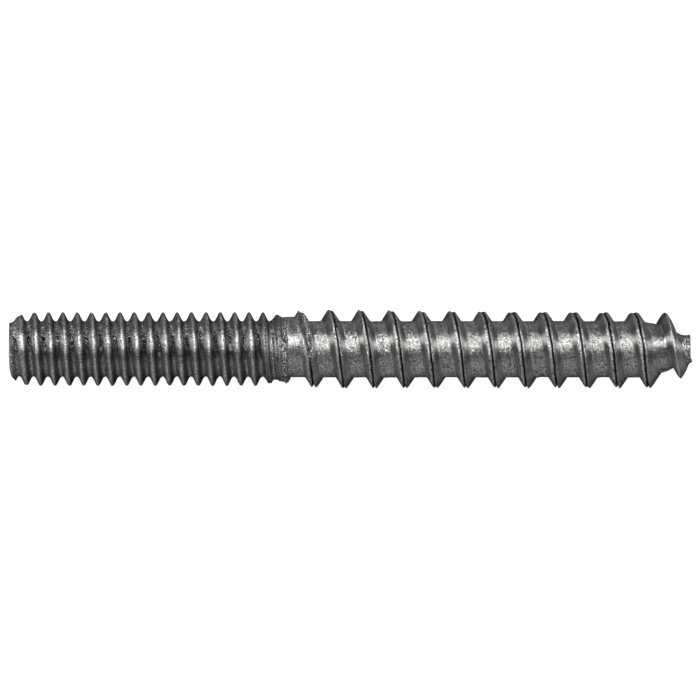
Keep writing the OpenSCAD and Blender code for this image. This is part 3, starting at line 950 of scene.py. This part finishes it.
def steel_material():
    material = bpy.data.materials.new("dark_steel")
    n = Nodes(material)
    shader = n.tree.nodes["Principled BSDF"]
    place = n.add("ShaderNodeVectorMath", operation="SCALE",
                  inputs={0: n.add("ShaderNodeTexCoord", "Object"), "Scale": 1 / MM})
    way = n.attribute("way", "Vector")
    wear_and_highlight, painted_shade, even = n.attribute("wear_and_highlight"), n.attribute("painted_shade"), n.attribute("even")
    side, torn = n.attribute("side"), n.attribute("torn")

    clouds = n.noise(place, *CLOUDS)
    mottle = n.noise(place, *MOTTLE)
    speck = n.noise(place, *SPECK)
    streak = n.noise(way, *STREAK)
    grit = n.noise(place, *GRIT)

    # colour: oxide, with bare steel where rubbed and in specks, and a painted highlight line along the
    # machine roots
    uneven = n.math("SUBTRACT", 1.0, n.math("MULTIPLY", even, EVENNESS))
    blotch = n.mix(uneven, 1.0, n.ramp(mottle, *BLOTCHES))
    oxide = n.math("MULTIPLY", blotch, n.ramp(clouds, *OXIDE_TONE))
    oxide = n.math("MULTIPLY", oxide, n.ramp(streak, *STREAKS))
    bare = n.math("MULTIPLY", uneven, n.ramp(speck, *BARE_SPECKS))
    wear_and_highlight_tone = n.math("MULTIPLY", wear_and_highlight, n.ramp(speck, *WEAR_AND_HIGHLIGHT_TONE))
    tone = n.math("ADD", oxide, n.math("ADD", bare, wear_and_highlight_tone))
    tone = n.math("ADD", tone, n.math("MULTIPLY", side, SIDE_TONE))
    pits = n.ramp(n.noise(place, *PITS), *PIT_SHADE)
    pits = n.math("MULTIPLY", pits, n.ramp(clouds, *PIT_FIELDS))
    pits = n.math("MULTIPLY", pits, uneven)
    tone = n.math("MULTIPLY", tone, n.math("SUBTRACT", 1.0, pits))
    # painted shade: the tone is darkened by the mask of painted shade, in place of self-shadowing
    tone = n.math("MULTIPLY", tone, n.math("SUBTRACT", 1.0, n.math("MULTIPLY", painted_shade, HOLLOW_SHADE)))

    # where the metal is torn: dark holes between bright burrs
    holes = n.math("MULTIPLY", torn, n.ramp(grit, *TORN_HOLES))
    burrs = n.math("MULTIPLY", torn, n.ramp(grit, *TORN_BURRS))
    tone = n.math("MULTIPLY", tone, n.math("SUBTRACT", 1.0, holes))
    tone = n.math("ADD", tone, n.math("MULTIPLY", burrs, BURR_TONE))
    blue = n.math("MULTIPLY", tone, BLUE)
    colour = n.add("ShaderNodeCombineColor", inputs={0: tone, 1: tone, 2: blue})
    n.put(shader.inputs["Base Color"], colour)
    n.put(shader.inputs["Metallic"], n.ramp(mottle, *METALLIC))
    n.put(shader.inputs["Specular Tint"], SPECULAR_TINT)

    roughness = n.ramp(mottle, *ROUGHNESS)
    duller = n.math("MULTIPLY", n.math("MAXIMUM", side, wear_and_highlight), ROUGHER_WHERE_WORN)
    roughness = n.math("ADD", roughness, duller)
    roughness = n.math("ADD", roughness, n.math("MULTIPLY", uneven, ROUGHER_WHERE_UNEVEN))
    n.put(shader.inputs["Roughness"], roughness)
    # rolling marks run round the rod, so highlights spread along it
    n.put(shader.inputs["Anisotropic"], ANISOTROPY)
    n.put(shader.inputs["Anisotropic Rotation"], QUARTER_TURN)
    n.put(shader.inputs["Tangent"], n.add("ShaderNodeTangent", direction_type="RADIAL", axis="X"))

    height = n.math("MULTIPLY", mottle, MOTTLE_HEIGHT)
    height = n.math("ADD", height, n.math("MULTIPLY", speck, SPECK_HEIGHT))
    height = n.math("MULTIPLY", height, uneven)
    height = n.math("SUBTRACT", height, n.math("MULTIPLY", pits, PIT_DEPTH))
    height = n.math("ADD", height, n.math("MULTIPLY", streak, STREAK_HEIGHT))
    height = n.math("ADD", height, n.math("MULTIPLY", torn, n.ramp(grit, *TORN_HEIGHT)))
    relief = n.add("ShaderNodeBump", inputs={"Strength": 1.0, "Distance": RELIEF_DEPTH, "Height": height})
    n.put(shader.inputs["Normal"], relief)
    return material


bolt = bpy.data.objects.new("hanger_bolt_steel", bolt_mesh())
bpy.context.scene.collection.objects.link(bolt)
bolt.data.materials.append(steel_material())
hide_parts(NODE)
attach(bolt, "root")


# Floor, light and camera, with sizes in metres

FLOOR_HALF = 2.0
FLOOR_TONE = (0.24, 0.24, 0.24, 1)
FLOOR_GLOW = 0.95
MIRRORED_GLOW = 0.12  # the share of the glow that the steel reflects
WORLD_COLOUR = (1, 1, 1, 1)
WORLD_LIGHT = 0.09
WORLD_SEEN = 1.0  # the world's strength in the picture itself


def floor():
    mesh = bpy.data.meshes.new("floor")
    corners = [(-1, -1), (1, -1), (1, 1), (-1, 1)]
    mesh.from_pydata([(FLOOR_HALF * x, FLOOR_HALF * y, 0) for x, y in corners], [], [(0, 1, 2, 3)])
    obj = bpy.data.objects.new("floor", mesh)
    bpy.context.scene.collection.objects.link(obj)
    material = bpy.data.materials.new("white_floor")
    n = Nodes(material)
    n.tree.nodes.clear()
    diffuse = n.add("ShaderNodeBsdfDiffuse", inputs={"Color": FLOOR_TONE})
    glow = n.add("ShaderNodeEmission", inputs={"Strength": FLOOR_GLOW})
    both = n.add("ShaderNodeAddShader", inputs={0: diffuse, 1: glow})
    path = n.tree.nodes.new("ShaderNodeLightPath")
    mirrored = n.math("MULTIPLY", path.outputs["Is Glossy Ray"], MIRRORED_GLOW)
    seen = n.math("MAXIMUM", path.outputs["Is Camera Ray"], mirrored)
    skin = n.add("ShaderNodeMixShader", inputs={0: seen, 1: diffuse, 2: both})
    out = n.tree.nodes.new("ShaderNodeOutputMaterial")
    n.put(out.inputs["Surface"], skin)
    mesh.materials.append(material)


def studio():
    world = bpy.data.worlds.new("studio")
    n = Nodes(world)
    background = n.tree.nodes["Background"]
    path = n.tree.nodes.new("ShaderNodeLightPath")
    level = n.add("ShaderNodeMapRange", inputs={
        "Value": path.outputs["Is Camera Ray"], "To Min": WORLD_LIGHT, "To Max": WORLD_SEEN})
    n.put(background.inputs["Color"], WORLD_COLOUR)
    n.put(background.inputs["Strength"], level)
    bpy.context.scene.world = world


def strip_light(name, angle, distance, middle, turned, length, width, watts):
    """A strip over the bolt, angle degrees from straight up towards +Y, and turned away from its line."""
    data = bpy.data.lights.new(name, "AREA")
    data.shape = "RECTANGLE"
    data.size, data.size_y = length, width
    data.energy = watts
    obj = bpy.data.objects.new(name, data)
    bpy.context.scene.collection.objects.link(obj)
    obj.rotation_mode = "ZXY"
    obj.rotation_euler = (-radians(angle), 0, -radians(turned))
    offset = distance * np.sin(radians(angle)) - middle * np.tan(radians(turned))
    obj.location = (middle, offset, distance * np.cos(radians(angle)))


floor()
studio()
strip_light("left_key_strip", angle=28.5, distance=0.4, middle=-1.1, turned=-8,
            length=2.2, width=0.08, watts=6.6)
strip_light("right_key_strip", angle=28.5, distance=0.4, middle=0.95, turned=-3,
            length=1.9, width=0.08, watts=4.7)
strip_light("fill_strip", angle=-66, distance=0.5, middle=-0.3, turned=0,
            length=2.6, width=0.5, watts=1.6)

PIXEL = 0.0554512 * MM
IMAGE_PX = 700
START_PX = 8.7  # the sheared end lies here in the picture
ABOVE_MIDDLE_PX = 0.8  # and the bolt's axis this far above its middle row
CAMERA_DISTANCE = 0.86  # from the axis
data = bpy.data.cameras.new("camera")
data.lens = data.sensor_width * CAMERA_DISTANCE / (IMAGE_PX * PIXEL)
camera = bpy.data.objects.new("camera", data)
bpy.context.scene.collection.objects.link(camera)
camera.location = (
    low.x + (IMAGE_PX / 2 - START_PX) * PIXEL,
    -ABOVE_MIDDLE_PX * PIXEL,
    AXIS_HEIGHT * MM + CAMERA_DISTANCE,
)
bpy.context.scene.camera = camera

bpy.context.scene.view_settings.view_transform = "Standard"
